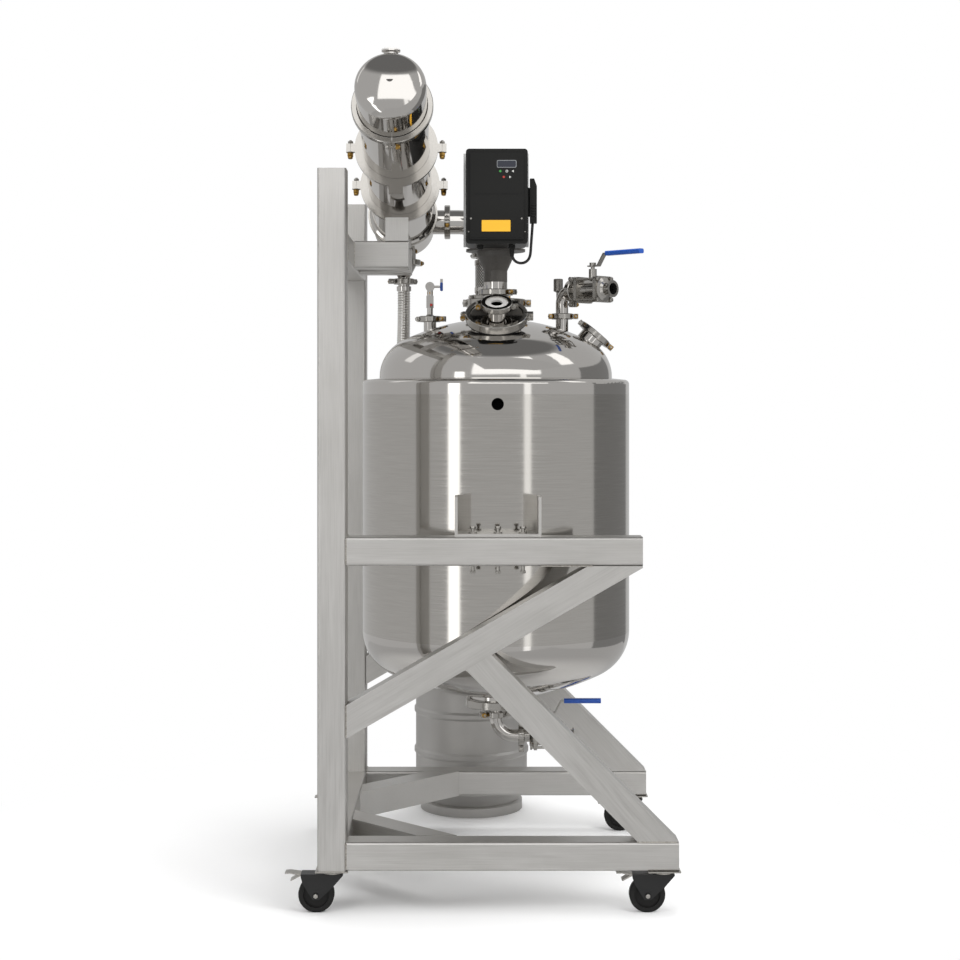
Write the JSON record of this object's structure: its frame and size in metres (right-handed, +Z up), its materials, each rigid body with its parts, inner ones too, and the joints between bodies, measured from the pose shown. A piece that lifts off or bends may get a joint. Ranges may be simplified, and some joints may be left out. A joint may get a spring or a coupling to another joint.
{
  "type": "jacketed reactor",
  "caption": "Jacketed stainless steel reactor on a square tube caster frame, with a stirrer drive, a tilted condenser, ball valves and a hose to a receiver.",
  "frame": {"origin": "on the floor under the vessel's axis", "axes": "+Z up; +X towards the frame's open side, away from the posts; -Y towards the side with the jacket port and the drive box"},
  "size_m": [1.0963, 1.7531, 2.361],
  "materials": {
    "brushed_tube": "satin brushed square tube",
    "brushed_sheet": "brushed sheet",
    "matt_sheet": "matt pickled sheet",
    "polished_steel": "mirror polished stainless steel",
    "steel_braid": "woven wire braid",
    "corrugated_steel": "corrugated hose",
    "zinc_plate": "zinc plated",
    "wheel_tread": "matt",
    "dark_casting": "satin dark grey",
    "motor_paint": "satin grey",
    "drive_paint": "satin black",
    "black_paint": "satin black",
    "bare_aluminium": "finned casting",
    "black_plastic": "satin black",
    "black_sheath": "smooth sheath",
    "blue_sleeve": "soft vinyl"
  },
  "bodies": {
    "plant": {"base_corner_braces": "brushed_tube", "base_rails": "brushed_tube", "cable_glands": "black_plastic", "caster_mounts": "zinc_plate", "condensate_hose": "corrugated_steel", "condenser_arms": "brushed_tube", "condenser_heads": "polished_steel", "condenser_ports": "polished_steel", "condenser_risers": "brushed_tube", "condenser_saddles": "polished_steel", "condenser_shell": "polished_steel", "drive_box": "drive_paint", "drive_heat_sink": "bare_aluminium", "drive_lead": "black_sheath", "hose_ends": "polished_steel", "jacket_bottom_head": "brushed_sheet", "jacket_shell": "brushed_sheet", "lead_plug": "black_plastic", "lid_instrument": "dark_casting", "lid_ports": "polished_steel", "lid_spools": "polished_steel", "long_braces": "brushed_tube", "mid_rails": "brushed_tube", "motor": "motor_paint", "motor_adapter": "dark_casting", "outlet_neck": "polished_steel", "outlet_valve_body": "polished_steel", "pipe_clamps": "polished_steel", "pipe_elbows": "polished_steel", "pipe_reducers": "polished_steel", "port_caps": "polished_steel", "posts": "brushed_tube", "rear_base_beam": "brushed_tube", "receiver_chimes": "matt_sheet", "receiver_shell": "matt_sheet", "sample_valve": "polished_steel", "short_braces": "brushed_tube", "support_lugs": "brushed_sheet", "top_valve_body": "polished_steel", "upper_cross_beam": "brushed_tube", "vapour_hose": "steel_braid", "vessel_lid": "polished_steel", "vessel_shell": "polished_steel"},
    "near_rear_swivel": {"near_rear_fork": "black_paint", "near_rear_pedal": "zinc_plate"},
    "near_rear_roller": {"near_rear_wheel": "wheel_tread"},
    "near_front_swivel": {"near_front_fork": "black_paint", "near_front_pedal": "zinc_plate"},
    "near_front_roller": {"near_front_wheel": "wheel_tread"},
    "far_rear_swivel": {"far_rear_fork": "black_paint", "far_rear_pedal": "zinc_plate"},
    "far_rear_roller": {"far_rear_wheel": "wheel_tread"},
    "far_front_swivel": {"far_front_fork": "black_paint", "far_front_pedal": "zinc_plate"},
    "far_front_roller": {"far_front_wheel": "wheel_tread"},
    "top_handle": {"top_valve_lever": "polished_steel", "top_valve_grip": "blue_sleeve"},
    "outlet_handle": {"outlet_valve_lever": "polished_steel", "outlet_valve_grip": "blue_sleeve"}
  },
  "joints": [
    {"name": "near_rear_swivel_turn", "type": "hinge", "parent": "plant", "child": "near_rear_swivel", "pos_m": [-0.46, -0.46, 0.107], "axis": [0, 0, 1], "continuous": true},
    {"name": "near_rear_wheel_turn", "type": "hinge", "parent": "near_rear_swivel", "child": "near_rear_roller", "pos_m": [-0.505, -0.46, 0.05], "axis": [0, 1, 0], "continuous": true},
    {"name": "near_front_swivel_turn", "type": "hinge", "parent": "plant", "child": "near_front_swivel", "pos_m": [0.46, -0.46, 0.107], "axis": [0, 0, 1], "continuous": true},
    {"name": "near_front_wheel_turn", "type": "hinge", "parent": "near_front_swivel", "child": "near_front_roller", "pos_m": [0.415, -0.46, 0.05], "axis": [0, 1, 0], "continuous": true},
    {"name": "far_rear_swivel_turn", "type": "hinge", "parent": "plant", "child": "far_rear_swivel", "pos_m": [-0.46, 0.46, 0.107], "axis": [0, 0, 1], "continuous": true},
    {"name": "far_rear_wheel_turn", "type": "hinge", "parent": "far_rear_swivel", "child": "far_rear_roller", "pos_m": [-0.505, 0.46, 0.05], "axis": [0, 1, 0], "continuous": true},
    {"name": "far_front_swivel_turn", "type": "hinge", "parent": "plant", "child": "far_front_swivel", "pos_m": [0.46, 0.46, 0.107], "axis": [0, 0, 1], "continuous": true},
    {"name": "far_front_wheel_turn", "type": "hinge", "parent": "far_front_swivel", "child": "far_front_roller", "pos_m": [0.415, 0.46, 0.05], "axis": [0, 1, 0], "continuous": true},
    {"name": "top_handle_turn", "type": "hinge", "parent": "plant", "child": "top_handle", "pos_m": [0.28968, -0.08768, 1.753], "axis": [0, 0, 1], "range_deg": [0, 90]},
    {"name": "outlet_handle_turn", "type": "hinge", "parent": "plant", "child": "outlet_handle", "pos_m": [0.158, 0, 0.401], "axis": [0, 0, 1], "range_deg": [-90, 0]}
  ]
}
